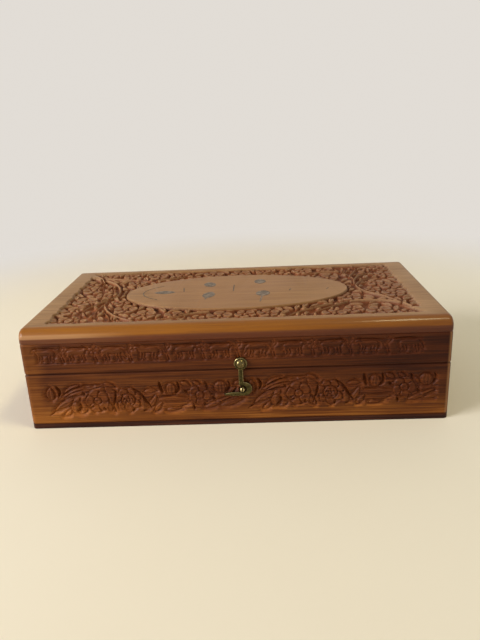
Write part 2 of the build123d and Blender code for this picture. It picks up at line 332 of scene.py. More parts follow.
class Relief:
    """Carving on a net of points, in mm. Heights are measured from the uncut face.

    The ground is sunk by depth, and slopes down over spread mm towards each form. modelled is
    the share of a form's own shape that shows, groove the width of the cut beside a form that
    lies over another, and side the width of a form's rounded flank."""

    def __init__(
        self, low, high, pitch, depth, spread, seed=1, modelled=1.0, groove=0.75, side=0.6
    ):
        columns, rows = (round((b - a) / pitch) for a, b in zip(low, high))
        across = np.linspace(low[0], high[0], columns + 1)
        up = np.linspace(low[1], high[1], rows + 1)
        self.x, self.y = np.meshgrid(across, up)
        self.low = low
        self.pitch = ((high[0] - low[0]) / columns, (high[1] - low[1]) / rows)
        self.depth = depth
        self.spread = spread
        self.modelled, self.groove, self.side = modelled, groove, side
        self.shift = (0.0, 0.0)
        self.ground = np.zeros_like(self.x)
        self.form = np.full_like(self.x, -99.0)
        self.cuts = np.zeros_like(self.x)
        self.moat = np.zeros_like(self.x, dtype=bool)
        self.draw = np.random.default_rng(seed)

    def window(self, points, reach):
        """The part of the net that lies within reach of the points."""
        spans = []
        for axis in (1, 0):
            values = [point[axis] for point in points]
            first = (min(values) - reach - self.low[axis]) / self.pitch[axis]
            last = (max(values) + reach - self.low[axis]) / self.pitch[axis]
            spans.append(slice(max(0, int(first)), max(0, int(last) + 2)))
        return tuple(spans)

    def moved(self, points):
        return [(x + self.shift[0], y + self.shift[1]) for x, y in points]

    def along(self, part, start, end):
        """The net seen from start to end: the share of the way, mm to the side, and the length."""
        run = (end[0] - start[0], end[1] - start[1])
        length = hypot(*run)
        x, y = self.x[part] - start[0], self.y[part] - start[1]
        return (x * run[0] + y * run[1]) / length**2, (y * run[0] - x * run[1]) / length, length

    def stand(self, part, inside, top, under=False):
        """Leaves a form standing where inside, the distance in from its outline, is above 0.

        With under, it takes only the room that older forms have left."""
        if self.spread:
            slope = np.clip(1 + inside / self.spread, 0, 1)
            self.ground[part] = np.minimum(self.ground[part], -self.depth * slope**1.6)
        older = self.form[part]
        newer = -self.depth + (top * self.modelled + self.depth) * smoothstep(inside, 0, self.side)
        if under:
            taken = (older > -90) | self.moat[part]
            for axis in (0, 1):
                taken = taken | np.roll(taken, 1, axis) | np.roll(taken, -1, axis)
            self.form[part] = np.where((inside > 0) & ~taken, newer, older)
            return
        notch = np.clip(-inside / self.groove, 0, 1)
        older = np.where(older > -90, -self.depth + (older + self.depth) * notch, older)
        self.form[part] = np.where(inside > 0, newer, older)

    def leaf(self, start, end, width, bow=0.0, under=False):
        """Pointed leaf with a cut midrib and sloping halves; bow bends it sideways."""
        start, end = self.moved((start, end))
        part = self.window((start, end), width + abs(bow) + 1)
        along, side, length = self.along(part, start, end)
        near = np.clip(along, 0, 1)
        side = side - bow * 4 * near * (1 - near)
        half = width / 2 * np.sin(pi * near**0.8) ** 0.75
        inside = half - np.hypot(side, (along - near) * length)
        across = np.clip(np.abs(side) / np.maximum(half, 0.2), 0, 1)
        rib = np.exp(-((side / 0.4) ** 2)) * smoothstep(near, 0.02, 0.15)
        tilt = self.draw.uniform(-0.1, 0.12) * side / max(width, 1) * 2
        top = -self.depth * (0.3 * (0.45 * across**2 + rib) + tilt + 0.12 * near + 0.2 * under)
        self.stand(part, inside, top, under=under)

    def petal(self, start, end, width, under=False):
        """Round-ended petal, hollowed like a spoon."""
        part = self.window((start, end), width)
        along, side, length = self.along(part, start, end)
        near = np.clip(along, 0, 1)
        half = width / 2 * np.sin(pi * near**1.35) ** 0.55
        inside = half - np.hypot(side, (along - near) * length)
        across = np.clip(np.abs(side) / np.maximum(half, 0.2), 0, 1)
        spoon = (1 - across**2) * np.sin(pi * near**1.2)
        top = -self.depth * (0.34 * (spoon + 0.25 * (1 - near)) + 0.2 * under)
        self.stand(part, inside, top, under=under)

    def bead(self, x, y, radius, hollow=0.0, squeeze=1.0, ribs=0):
        """Round boss; a flower's eye has a hollow in its middle, and a bud has ribs up it."""
        ((x, y),) = self.moved(((x, y),))
        part = self.window(((x, y),), radius * max(1, squeeze) + 1)
        across, up = (self.x[part] - x) / radius, (self.y[part] - y) / radius / squeeze
        away = np.hypot(across, up)
        top = 0.25 * away**2 + hollow * np.exp(-((away * 1.9) ** 2))
        if ribs:
            round_bud = np.clip(across / np.sqrt(1.05 - up.clip(-1, 1) ** 2), -1, 1)
            top = top + 0.3 * (1 - np.abs(np.cos(ribs * pi / 2 * round_bud)))
        self.stand(part, (1 - away) * radius, -self.depth * top)

    def flower(self, x, y, radius, turn=0.0, petals=5, eye=0.24, under=False):
        """Open flower: round petals about a hollow eye."""
        x, y = x + self.shift[0], y + self.shift[1]
        for k in range(petals):
            angle = turn + 2 * pi * k / petals
            reach = (radius * cos(angle), radius * sin(angle))
            start = (x + 0.12 * reach[0], y + 0.12 * reach[1])
            self.petal(start, (x + reach[0], y + reach[1]), radius * 5.3 / petals, under=under)
        self.bead(x - self.shift[0], y - self.shift[1], radius * eye, hollow=0.55)

    def stroke(self, points, width, taper):
        """The net's part round a smooth line of the given width, and the depth inside the line.

        taper is the share of it left at the line's end, or None if it swells and dies out."""
        path = smooth_line(self.moved(points))
        part = self.window(path, width + 1)
        x, y = self.x[part], self.y[part]
        inside = np.full_like(x, -9.0)
        for k, (start, end) in enumerate(zip(path, path[1:])):
            run = (end[0] - start[0], end[1] - start[1])
            share = (x - start[0]) * run[0] + (y - start[1]) * run[1]
            share = np.clip(share / (run[0] ** 2 + run[1] ** 2), 0, 1)
            away = np.hypot(x - start[0] - share * run[0], y - start[1] - share * run[1])
            along = (k + share) / (len(path) - 1)
            if taper is None:
                swell = np.sin(pi * np.clip(along, 0.04, 0.96)) ** 0.5
            else:
                swell = 1 - (1 - taper) * along
            inside = np.maximum(inside, width / 2 * swell - away)
        return part, inside

    def stem(self, points, width, taper, clear=0.0):
        """Rounded stem along a smooth line, thinner at its end, with clear mm left beside it."""
        part, inside = self.stroke(points, width, taper)
        edge = np.clip(1 - 2 * inside / width, 0, 1)
        self.stand(part, inside, -self.depth * 0.18 * edge**2)
        self.moat[part] |= inside > -clear

    def figure(self, limbs):
        """Leaves one rounded figure standing, made of limbs with their points, width and taper."""
        inside = np.full_like(self.x, -9.0)
        for points, width, taper in limbs:
            part, depth_in = self.stroke(points, width, taper)
            inside[part] = np.maximum(inside[part], depth_in)
        part = self.window([point for limb in limbs for point in limb[0]], 4)
        inside = inside[part]
        self.stand(part, inside, -self.depth * 0.4 * np.clip(1 - inside / 1.3, 0, 1) ** 2)
        self.moat[part] |= inside > 0

    def cut(self, points, width, depth=1.0):
        """Gouge cut that swells and dies out again; depth is a share of the ground's."""
        part, inside = self.stroke(points, width, None)
        lower = -depth * self.depth * np.clip(inside / (0.3 * width), 0, 1) ** 0.7
        self.cuts[part] = np.minimum(self.cuts[part], lower)

    def branch(self, points, width, leaf, gap):
        """Stem at full height, with leaves about leaf mm long every gap mm, left and right."""
        path = smooth_line(points)
        turned, travelled, splay = 1, gap * 0.6, 0.8
        for start, end in zip(path, path[1:]):
            travelled += hypot(end[0] - start[0], end[1] - start[1])
            if travelled > gap:
                travelled = 0.0
                turned = -turned
                angle = atan2(end[1] - start[1], end[0] - start[0]) + turned * splay
                length = leaf * self.draw.uniform(0.85, 1.2)
                tip = (end[0] + length * cos(angle), end[1] + length * sin(angle))
                self.leaf(end, tip, leaf * 0.45, -turned * length * 0.12)
        self.stem(points, width, 0.5, clear=1.5)

    def fill_gaps(self, room, forms, pitch, tries, free):
        """Sets leaves under the other forms wherever room is above 0, longest first.

        free is the share of a leaf's place that has to be empty."""
        low, high = (self.x[0, 0], self.y[0, 0]), (self.x[-1, -1], self.y[-1, -1])
        for length, width in forms:
            for x in np.arange(low[0], high[0], pitch):
                for y in np.arange(low[1], high[1], pitch):
                    x0, y0 = x + self.draw.uniform(0, pitch), y + self.draw.uniform(0, pitch)
                    first = self.draw.uniform(0, pi)
                    for k in range(tries):
                        angle = first + k * pi / tries
                        out = (length / 2 * cos(angle), length / 2 * sin(angle))
                        start, end = (x0 - out[0], y0 - out[1]), (x0 + out[0], y0 + out[1])
                        part = self.window((start, end), width / 2)
                        along, side, _ = self.along(part, start, end)
                        half = width / 2 * np.sin(pi * np.clip(along, 0, 1))
                        hit = (np.abs(side) < half + 0.8) & (np.abs(along - 0.5) < 0.56)
                        if not hit.sum() or room[part][hit].mean() <= 0:
                            continue
                        if (self.form[part] < -90)[hit].mean() >= free:
                            bow = self.draw.uniform(-0.1, 0.1) * length
                            self.leaf(start, end, width, bow, under=True)
                            break

    def heights(self):
        """Carved heights, and how far each point lies below the middle level round it."""
        height = self.worn(np.minimum(np.maximum(self.ground, self.form), self.cuts))
        return height, self.hollows(height)

    def worn(self, height, sharp=2):
        """The heights with their sharp edges softened a little, as by handling."""
        for axis in (0, 1):
            last = height.shape[axis] - 1
            before = height.take([0, *range(last)], axis)
            after = height.take([*range(1, last + 1), last], axis)
            height = (before + sharp * height + after) / (sharp + 2)
        return height

    def hollows(self, height, reach=2.6):
        """How far each point lies below the middle level within reach."""
        level = height
        for axis, pitch in ((0, self.pitch[1]), (1, self.pitch[0])):
            count = max(1, round(reach / pitch))
            span, last = 2 * count + 1, height.shape[axis] - 1
            around = [0] * (count + 1) + [*range(last + 1)] + [last] * count
            for _ in range(2):
                total = level.take(around, axis).cumsum(axis)
                before = total.take(range(last + 1), axis)
                level = (total.take(range(span, last + 1 + span), axis) - before) / span
        return level - height


def leaf_scroll(carve):
    """One repeat of the scroll, 123 mm long: leaves, flowers, a rosette and ribbed buds."""
    for start, end, width, bow in (
        ((-107, 20.5), (-79, 28.3), 3.6, 1.4), ((-106, 18.5), (-88, 25.2), 3.4, 0.9),
        ((-112, 11.5), (-97, 19.5), 4.2, 0.6), ((-105, 23.5), (-95, 28.6), 2.6, 0.4),
        ((-113, 19.3), (-113.4, 27.5), 5.2, 0.5), ((-96, 20), (-102, 14.5), 3.2, 0),
        ((-92, 12), (-99.5, 9.8), 3.0, 0.2), ((-81, 26), (-72.5, 22.5), 3.0, 0.3),
        ((-80, 29.2), (-73, 26.3), 2.4, 0.3), ((-75, 10), (-79.5, 17), 3.4, 0.2),
        ((-56, 23), (-47.5, 23.6), 2.8, 0.3), ((-54, 12), (-48.5, 21), 3.4, -0.6),
        ((-50, 9.8), (-45, 15.8), 3.0, 0.2), ((-48, 17.4), (-27.5, 17.2), 3.2, 0.5),
        ((-46, 13.6), (-29, 14.6), 3.0, -0.6), ((-43, 10.2), (-33, 11.5), 2.4, 0.3),
        ((-33, 28.6), (-27.5, 25.5), 3.2, 0.3), ((-25.5, 28.5), (-21, 26.3), 2.4, 0.2),
        ((-19.5, 11.3), (-3, 18.5), 2.9, -0.4), ((-10, 12.3), (5, 16.8), 2.7, -0.3),
        ((-30, 21), (-25, 23), 2.6, 0.2), ((-18, 16), (-13, 20), 2.8, 0.3),
        ((-5, 20), (0.5, 24.5), 2.6, 0.3), ((-16, 26), (-12, 21), 2.4, 0.2),
        ((-1, 26.5), (4.5, 28.4), 2.4, 0.2), ((-93, 28), (-86, 27.6), 1.8, 0.0),
        ((-102, 12), (-107, 8), 2.6, 0.5),
    ):
        carve.leaf(start, end, width, bow)
    carve.flower(-85, 17.6, 7.4, turn=1.9, eye=0.32)
    carve.flower(-22, 19.8, 6.8, turn=1.2, eye=0.38)
    carve.flower(-66, 18.0, 8.0, turn=0.3, petals=7, eye=0.5)
    carve.bead(-66, 17.6, 4.2, hollow=0.1)
    carve.flower(-66, 17.4, 3.0, turn=0.9, eye=0.3)
    carve.bead(-98.6, 13.4, 3.3, squeeze=1.15, ribs=2)
    carve.bead(-39.3, 24.4, 3.1, squeeze=1.25, ribs=3)
    carve.bead(-9, 24.6, 4.2, squeeze=0.95, ribs=4)
    for points, width, depth in (
        (((-109.6, 28.4), (-107.7, 24.6), (-108.9, 20.6)), 2.3, 1.3),
        (((-115.8, 26), (-116.4, 23), (-115.6, 20.4)), 1.1, 0.9),
        (((-107.5, 20.6), (-101, 25.4), (-92, 27.8), (-79, 28.6)), 1.5, 1.25),
        (((-108.4, 17.2), (-102.5, 20.2), (-96.5, 21.6), (-92, 21.8)), 1.8, 1.2),
        (((-115.4, 8.9), (-110, 12.2), (-104, 14.4)), 1.5, 1.0),
        (((-107, 10.2), (-106.4, 7.7), (-104, 7.6)), 0.9, 0.7),
        (((-96.8, 16.4), (-95.8, 13.2), (-98.8, 10.4)), 2.2, 1.3),
        (((-93.6, 24), (-92.6, 21.2)), 1.6, 1.2), (((-80.3, 27.6), (-79.5, 22.5)), 1.6, 1.1),
        (((-73.4, 25), (-73.9, 19), (-76.6, 10.6)), 1.7, 1.2),
        (((-63.4, 26), (-58.6, 22.6), (-54.8, 16.4), (-51.6, 11.4)), 2.0, 1.3),
        (((-46.2, 29.4), (-45.4, 24.6), (-44, 21.6)), 2.6, 1.35),
        (((-35.4, 29.6), (-34.6, 24.2), (-37.8, 20.4)), 2.3, 1.35),
        (((-48, 19.9), (-42, 19.5), (-34, 20.3)), 1.5, 1.2),
        (((-45, 15.9), (-38, 15.7), (-29, 16.0)), 1.3, 1.1),
        (((-31.5, 23.6), (-29, 20.8)), 2.0, 1.2), (((-18.6, 28.8), (-16.5, 24)), 2.2, 1.2),
        (((-14.5, 18.5), (-12, 15.2)), 2.6, 1.25),
        (((-10.5, 14.4), (-4, 16.8), (3, 18.6)), 1.5, 1.2),
        (((-4.6, 29), (-3.4, 25), (-5.6, 21)), 2.0, 1.2), (((-90, 12.6), (-87.4, 14.4)), 1.9, 1.2),
        (((-62.4, 12.6), (-63.8, 9.8)), 1.7, 1.1), (((-52.4, 27), (-49.5, 25.2)), 1.2, 0.9),
        (((-81.6, 13.4), (-80.4, 11)), 1.8, 1.1), (((-26.2, 13.2), (-25.4, 10.6)), 1.6, 1.1),
        (((-19, 15), (-19.6, 12)), 1.6, 1.1), (((2.2, 24), (4.6, 20.6)), 2.2, 1.1),
        (((-57.5, 10.2), (-54.4, 10.8)), 1.2, 0.9),
    ):
        carve.cut(points, width, depth)


def carved_net(name, places, hollow, depth):
    """A net of points, as a grid; the hollow and the depth of each point colour its wood."""
    rows, columns = places.shape[:2]
    bpy.ops.mesh.primitive_grid_add(x_subdivisions=columns - 1, y_subdivisions=rows - 1, size=1)
    net_object = bpy.context.object
    net_object.name = net_object.data.name = name
    net_object.data.vertices.foreach_set("co", (places * mm).ravel())
    for key, values in (("hollow", hollow), ("depth", depth)):
        measure = net_object.data.attributes.new(key, "FLOAT", "POINT")
        measure.data.foreach_set("value", values.ravel())
    net_object.data.update()
    return net_object


sharp_edge = radians(38)


def finish_mesh(piece):
    """Merges doubles, turns all faces outwards and smooths all but the sharp edges."""
    bpy.ops.mesh.select_all(action="SELECT")
    bpy.ops.mesh.remove_doubles(threshold=0.00001)
    bpy.ops.mesh.normals_make_consistent(inside=False)
    bpy.ops.object.mode_set(mode="OBJECT")
    bpy.ops.object.shade_smooth_by_angle(angle=sharp_edge)
    bpy.ops.object.select_all(action="DESELECT")


half_length, half_depth, corner, wall = 128.0, 70.0, 3.0, 10.0
seam, seam_gap, hinge_y = 36.4, 0.3, 68.4
bottom_thick, lid_board_low = 3.2, 56.0


def carved_wall(name, node, carve, half, face, turn):
    """A wall built facing the front, half mm to each side and with its outer face at y = -face,
    then turned about Z to its own side. Its ends are cut to the corners' mitre."""
    height, hollow = carve.heights()
    uncut = smoothstep(half - 6 - np.abs(carve.x), 0, 3)
    height, hollow = height * uncut, hollow * uncut
    bottom, top = carve.y[0, 0], carve.y[-1, 0]
    rim = np.minimum(carve.y - bottom, top - carve.y)
    eased = 0.9
    height = height - 0.45 * (1 - smoothstep(rim, 0, eased))
    # The wall's top and bottom rims are marked hollow, so that painted shade darkens them along the
    # seam and the foot.
    hollow = np.maximum(hollow, 1.2 * (1 - smoothstep(rim, 0.2, eased)))
    arcs = [radians(angle) for angle in (9, 18, 27, 36, 45)]
    flat = np.dstack([carve.x, -face - height, carve.y])
    right = np.repeat(flat[:, -1:], len(arcs), 1)
    right[..., 0] = [half - corner + corner * sin(angle) for angle in arcs]
    right[..., 1] += [corner * (1 - cos(angle)) for angle in arcs]
    left = right[:, ::-1] * (-1, 1, 1)
    edge = np.zeros((height.shape[0], len(arcs)))
    piece = carved_net(
        name,
        np.concatenate([left, flat, right], 1),
        np.concatenate([edge, hollow, edge], 1),
        np.concatenate([edge, height, edge], 1),
    )
    mitre = half - corner + corner * sin(arcs[-1])
    inner = (half - wall) / mitre
    bpy.ops.object.mode_set(mode="EDIT")
    bpy.ops.mesh.select_all(action="SELECT")
    bpy.ops.mesh.region_to_loop()
    bpy.ops.mesh.extrude_region_move()
    bpy.ops.transform.resize(value=(inner, 0, 1), center_override=(0, (wall - face) * mm, 0))
    bpy.ops.mesh.edge_face_add()
    if turn:
        bpy.ops.mesh.select_all(action="SELECT")
        bpy.ops.transform.rotate(value=radians(turn), orient_axis="Z", center_override=(0, 0, 0))
    finish_mesh(piece)
    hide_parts(node)
    return piece


def bevel_rim(piece, down):
    """Slopes an end wall's rim behind the hinge pins, for a lid that swings past upright.

    down is 1 for the base's rim, which slopes down, and -1 for the lid's."""
    slope = radians(52)
    bpy.context.view_layer.objects.active = piece
    piece.select_set(True)
    bpy.ops.object.mode_set(mode="EDIT")
    bpy.ops.mesh.select_all(action="SELECT")
    bpy.ops.mesh.bisect(
        plane_co=(0, hinge_y * mm, seam * mm),
        plane_no=(0, sin(slope), down * cos(slope)),
        clear_outer=True,
        use_fill=True,
    )
    finish_mesh(piece)


# The walls' red-brown wood is golden near the bottom. Painted light makes the left end golden and
# the bottom left lighter; painted shade darkens the far half of each wall, the upper part under the
# lid, most at the upper right, and a band along the seam. Old wax and painted shade fill the cuts;
# the carving's high edges are lighter with wear and a painted highlight, and the rounded right
# corner has a painted highlight.
def carve_colour(colour, place, wax_and_shade_colour, wear_and_highlight, strength, low, high):
    """Paints a carved wood lighter on its ridges, as wear and a painted highlight, and darker in
    hollows from low to high mm deep, as wax and painted shade.

    Returns the colour and the roughness, since waxy hollows are dull."""
    hollow = place.carved("hollow")
    patch = place.noise((1, 1, 1), 0.012, 2.0)
    colour = ((hollow * -1.0).step(0.0, high * 0.75) * 0.6).mix(colour, wear_and_highlight)
    wax_and_shade = (hollow + (patch - 0.5) * 0.3 * high).step(low, high)
    return (wax_and_shade * strength).mix(colour, wax_and_shade_colour), wax_and_shade * 0.35 + 0.42


def red_wood(name, along):
    """The walls' wood, with its grain along X (0) or Y (1). Its places are in metres."""
    tones = ((0.051, 0.0102, 0.0018, 1), (0.094, 0.0225, 0.003, 1), (0.146, 0.0415, 0.007, 1))
    made, shader, place, colour, height = wood(name, along, tones)
    x, y, up = place.axes()
    across = (x, y)[along]
    drift = place.noise((1, 1, 2.5), 0.07, 2.0) - 0.5
    even = across.step(-0.02, -0.08) * 0.55
    gold = even.mix(colour.tint((2.3, 2.9, 3.0, 1)), (0.208, 0.063, 0.009, 1))

    # Painted shade: darker towards the right of the front and back walls, and towards the back of
    # the ends.
    painted_shade_far = (across + drift * 0.05).step(-0.02, 0.1)
    colour = colour.wash(painted_shade_far * 0.8, (0.6, 0.5, 0.5, 1))
    # Painted shade: the upper part of the walls, under the lid, is darker, and darker still at its
    # right.
    shade = (up + drift * 0.01).step(0.03, 0.04)
    colour = colour.wash(shade * 0.6, (0.72, 0.6, 0.6, 1))
    colour = colour.wash(shade * across.step(0.0, 0.06) * 0.5, (0.76, 0.7, 0.66, 1))

    outside = abs(x).step(0.1185, 0.12).either(abs(y).step(0.0605, 0.062))
    foot = (up + drift * 0.012).step(0.022, 0.005)
    left_end = (across + drift * 0.02).step(-0.112, -0.122)
    # The bottom band is golden wood; the golden left end and the lighter bottom left are painted
    # light.
    colour = (foot.either(left_end * 0.7) * outside * 0.78).mix(colour, gold)
    colour = colour.wash(foot * outside * across.step(-0.03, -0.09), (1.35, 1.45, 1.4, 1))
    # Painted highlight along the rounded right corner.
    painted_corner_highlight = across.step(0.125, 0.1266) * 0.7
    colour = painted_corner_highlight.mix(colour, (0.36, 0.17, 0.07, 1))

    deep = place.carved("depth") * -1.0
    colour = colour.wash(deep.step(0.05, 0.4), (1.26, 1.22, 1.25, 1))
    # Painted shade in a band either side of the seam between lid and base.
    face = abs(x).step(0.1268, 0.1277).either(abs(y).step(0.0688, 0.0697))
    painted_seam_shade = abs(up - seam * mm).step(0.0009, 0.0004) * face
    colour = colour.wash(painted_seam_shade * 0.7, (0.4, 0.34, 0.3, 1))
    return made, shader, place, colour, height


# The dark of the cuts is wax and painted shade; the lighter ridges are wear and a painted
# highlight.
wax_and_shade_colour = (0.022, 0.006, 0.002, 1)
front_wear_and_highlight, end_wear_and_highlight = (0.66, 0.29, 0.095, 1), (0.56, 0.24, 0.075, 1)
front_wood, shader, place, colour, height = red_wood("front_wood", 0)
colour, rough = carve_colour(colour, place, wax_and_shade_colour, front_wear_and_highlight, 0.22, low=0.3, high=1.1)
oil(shader, colour, height, rough)
end_wood, shader, place, colour, height = red_wood("end_wood", 1)
colour, rough = carve_colour(colour, place, wax_and_shade_colour, end_wear_and_highlight, 0.6, low=0.1, high=0.9)
oil(shader, colour, height, rough)
plain_wood, shader, place, colour, height = red_wood("plain_wood", 0)
oil(shader, colour, height)

scroll_depth, scroll_shift = 1.55, (123.0, 1.6)
flat_length, flat_depth = half_length - corner, half_depth - corner
low, high = bottom_thick, seam - seam_gap / 2
front_base = Relief((-flat_length, low), (flat_length, high), net, scroll_depth, 3.2)
leaf_scroll(front_base)
front_base.shift = scroll_shift
leaf_scroll(front_base)
end_base = Relief((-flat_depth, low), (flat_depth, high), net, scroll_depth, 3.2, seed=2)
end_base.shift = (54.4, 0.8)
leaf_scroll(end_base)


def fit_walls(body, front, end, down):
    """A body's three carved walls, with the relief of its front and of its ends."""
    for side, carve, half, face, turn, finish in (
        ("front", front, half_length, half_depth, 0, front_wood),
        ("left", end, half_depth, half_length, 90, end_wood),
        ("right", end, half_depth, half_length, -90, end_wood),
    ):
        piece = carved_wall(f"carved_{body}_{side}", f"{body}_{side}_wall", carve, half, face, turn)
        if turn:
            bevel_rim(piece, down)
        piece.data.materials.append(finish)
        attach(piece, body)


fit_walls("base", front_base, end_base, 1)
paint(plain_wood, "base_back_wall")


# ---- brass butt hinges ----
# Two small pressed-brass butt hinges let into the back edges, with plain pins. Their brass has
# gone brown and dull, and so have the round-headed screws.
def brass(name, bright, dull, rough, metal, size):
    """Aged brass: bright in patches of about size metres, and dull between them."""
    made, shader, place = material(name, Metallic=metal)
    patch = place.noise((1, 1, 1), size, 4.0, 0.6)
    spots = place.noise((1, 1, 1), size * 0.3, 2.0)
    worn = (patch + spots * 0.4 - 0.2).step(0.38, 0.66)
    colour = worn.mix(dull, bright)
    dents = {"Height": patch + spots * 0.5, "Strength": 0.25, "Distance": 0.2 * mm}
    bump = patch.node("ShaderNodeBump", {}, dents)
    link(shader, Base_Color=colour, Roughness=(worn * -0.14) + rough, Normal=bump)
    return made


hinge_brass = brass("hinge_brass", (0.36, 0.25, 0.1, 1), (0.16, 0.1, 0.045, 1), 0.45, 0.9, 0.004)
paint(hinge_brass, *[name for name in nodes if name.startswith("hinge_")])


# ---- walls of the lid ----
# Like the base's walls, 20 mm high. A procession of small beasts between trees is cut a
# millimetre deep along the front and the ends, over a ground line.
def beast(carve, x, z, facing, size, grazing):
    """A four-legged beast, about 15 mm long, walking to the right (1) or to the left (-1)."""
    limbs = [
        (((-4.6, 1.0), (-2.0, 1.6), (1.2, 1.2), (4.2, 1.7)), 3.6, 0.92),
        (((-4.3, 1.0), (-5.2, -1.2), (-4.4, -2.6), (-5.1, -4.6)), 2.3, 0.5),
        (((-3.4, 0.6), (-2.7, -1.6), (-2.3, -3.0), (-2.7, -4.5)), 1.8, 0.55),
        (((4.0, 1.2), (4.3, -1.6), (5.0, -4.5)), 2.0, 0.55),
        (((3.2, 0.8), (2.4, -1.4), (2.9, -2.8), (2.1, -4.3)), 1.7, 0.55),
        (((-5.6, 1.8), (-6.9, 0.8), (-6.8, -1.2)), 0.9, 0.6),
    ]
    if grazing:
        limbs.append((((4.2, 2.0), (6.0, 1.0), (6.9, -0.8)), 2.2, 0.75))
        limbs.append((((6.8, -0.6), (7.9, -2.6)), 1.7, 0.6))
    else:
        limbs.append((((4.2, 1.8), (5.5, 2.9), (6.0, 3.7)), 2.5, 0.75))
        limbs.append((((5.8, 3.6), (7.2, 3.2), (8.3, 2.5)), 1.8, 0.6))
        limbs.append((((5.9, 3.8), (5.1, 4.8)), 0.9, 0.6))
    carve.figure([
        ([(x + facing * size * a, z + size * b) for a, b in points], width * size, taper)
        for points, width, taper in limbs
    ])


def tree(carve, x, z, bushy):
    """A slim tree as tall as the band, or a round bush on a short stem."""
    carve.stem([(x + 0.5, z - 4.8), (x - 0.3, z), (x + 0.3, z + 4.6)], 1.3, 0.7)
    if bushy:
        carve.flower(x, z + 2.0, 3.3, turn=1.57)
        return
    carve.leaf((x, z + 1.6), (x + 2.4, z + 4.2), 1.5)
    carve.leaf((x, z - 1.4), (x - 2.4, z + 1.2), 1.5)


def procession(carve, places, trees):
    """A row of beasts and the trees between them, with a line cut over and under each beast."""
    height = 48.9
    for k, x in enumerate(places):
        facing, size = 1 if k % 3 else -1, carve.draw.uniform(0.92, 1.05)
        beast(carve, x, height, facing, size, k % 4 == 2)
    for k, x in enumerate(trees):
        tree(carve, x, height, k % 3 == 1)
    for start, end in zip([places[0] - 9, *trees], [*trees, places[-1] + 9]):
        middle = (start + end) / 2 + carve.draw.uniform(-2, 2)
        carve.cut([(start + 1.6, 52.8), (middle, 53.3), (end - 1.6, 52.7)], 1.2, 1.5)
        carve.cut([(start, 43.5), (middle, 43.3), (end, 43.6)], 0.8, 0.8)


low, high = seam + seam_gap / 2, lid_board_low
front_lid = Relief((-flat_length, low), (flat_length, high), net, 1.0, 1.6, seed=3)
procession(
    front_lid,
    (-113, -94, -72.5, -51, -29, -8, 13.5, 35, 57.5, 79, 103),
    (-103, -83, -62, -40, -18.5, 2, 23, 46.5, 68.5, 90),
)
end_lid = Relief((-flat_depth, low), (flat_depth, high), net, 1.1, 1.6, seed=4)
procession(end_lid, (-53, -31.5, -10, 11.5, 33, 54.5), (-42, -20.5, 1, 22.5, 44))
fit_walls("lid", front_lid, end_lid, -1)
paint(plain_wood, "lid_back_wall")


# ---- lid board ----
# One thick board, glued on the lid's walls. Its long edges are rounded over, and a garden of
# branches, open flowers and leaves is cut three millimetres deep round a plain oval, and less
# deep where it meets the border, whose inner edge wavers.
field_end, field_front, field_back, field_depth = 114.5, -58.5, 60.0, 3.0
oval, oval_y = (76.2, 40.0), 0.75
board_top, round_over = 65.0, 6.5
crest, flat_y = board_top - round_over, half_depth - round_over
garden_net = 0.42
garden = Relief(
    (-flat_length, -flat_y), (flat_length, flat_y), garden_net, field_depth, 0.0,
    seed=5, modelled=0.8, groove=0.9, side=0.95,
)
reach = np.hypot(garden.x / oval[0], (garden.y - oval_y) / oval[1])
from_oval = (reach - 1) * np.hypot(garden.x, garden.y - oval_y) / np.maximum(reach, 0.1)
from_edge = np.minimum(garden.y - field_front, field_back - garden.y)
from_edge = np.minimum(field_end - np.abs(garden.x), from_edge)
waver = 0.5 * np.sin(garden.y * 0.41) + 0.35 * np.sin(garden.y * 0.93 + garden.x * 0.2)
waver += 0.2 * np.sin(garden.x * 0.31)
room = np.minimum(from_oval, from_edge + waver - 0.3)
share = 0.5 + 0.5 * smoothstep(from_edge + waver, 0.6, 3.4)
garden.ground = -field_depth * smoothstep(room, 0, 0.6) * share
for points, width in (
    (((-118, 58), (-110, 50), (-103, 43)), 10.0),
    (((118, -57), (110, -48), (104, -37)), 9.0),
):
    garden.stem(points, width, 0.3)
for points, width, leaf, gap in (
    (
        ((-110, 47), (-100, 40), (-91, 30), (-85.5, 19), (-83, 8), (-83, -1), (-87, -11),
         (-87.5, -22), (-85, -33), (-79, -45), (-76, -57)),
        2.7, 9, 10,
    ),
    (((-104, 44), (-101, 36), (-100, 27), (-97, 17)), 2.2, 6, 7),
    (((-87.5, -9), (-92, -18), (-97, -26), (-99, -36), (-97, -45)), 2.2, 7, 7),
    (((-86, -25), (-81, -36), (-73, -46), (-62, -53), (-48, -56)), 2.4, 7, 8),
    (((-88, -20), (-90, -33), (-88, -46), (-89, -58)), 1.8, 6, 7),
    (((-16, -42.5), (-28, -45), (-40, -51), (-62, -53.5)), 2.4, 7, 7),
    (
        ((109, -45), (103, -33), (96, -21), (88, -12), (84, -2), (83, 12), (84, 24), (81, 36),
         (77, 46), (73, 59)),
        2.8, 9, 10,
    ),
    (((83.5, 8), (89, 18), (97, 24), (106, 25)), 2.2, 7, 7),
    (((84, 20), (89, 31), (97, 38), (102, 48)), 2.4, 7, 7),
    (((82.5, 31), (87, 42), (90, 52), (90, 59)), 2.2, 7, 7),
    (((79, 41), (82, 51), (81, 59)), 1.8, 6, 7),
    (((104, -36), (92, -31), (76, -30), (62, -34), (48, -42), (37, -50), (30, -58)), 3.0, 8, 8),
    (((72, -31), (60, -40), (50, -48), (45, -57)), 2.2, 7, 7),
    (((-102, 46), (-88, 44), (-74, 41), (-61, 36.5)), 2.2, 7, 8),
    (((-60, 37), (-48, 42), (-38, 50), (-32, 59)), 2.2, 7, 8),
    (((14, 43.5), (24, 47), (30, 52), (34, 59)), 2.0, 7, 7),
    (((76, 45), (64, 46), (52, 42), (42, 38)), 2.2, 7, 8),
):
    garden.branch(points, width, leaf, gap)
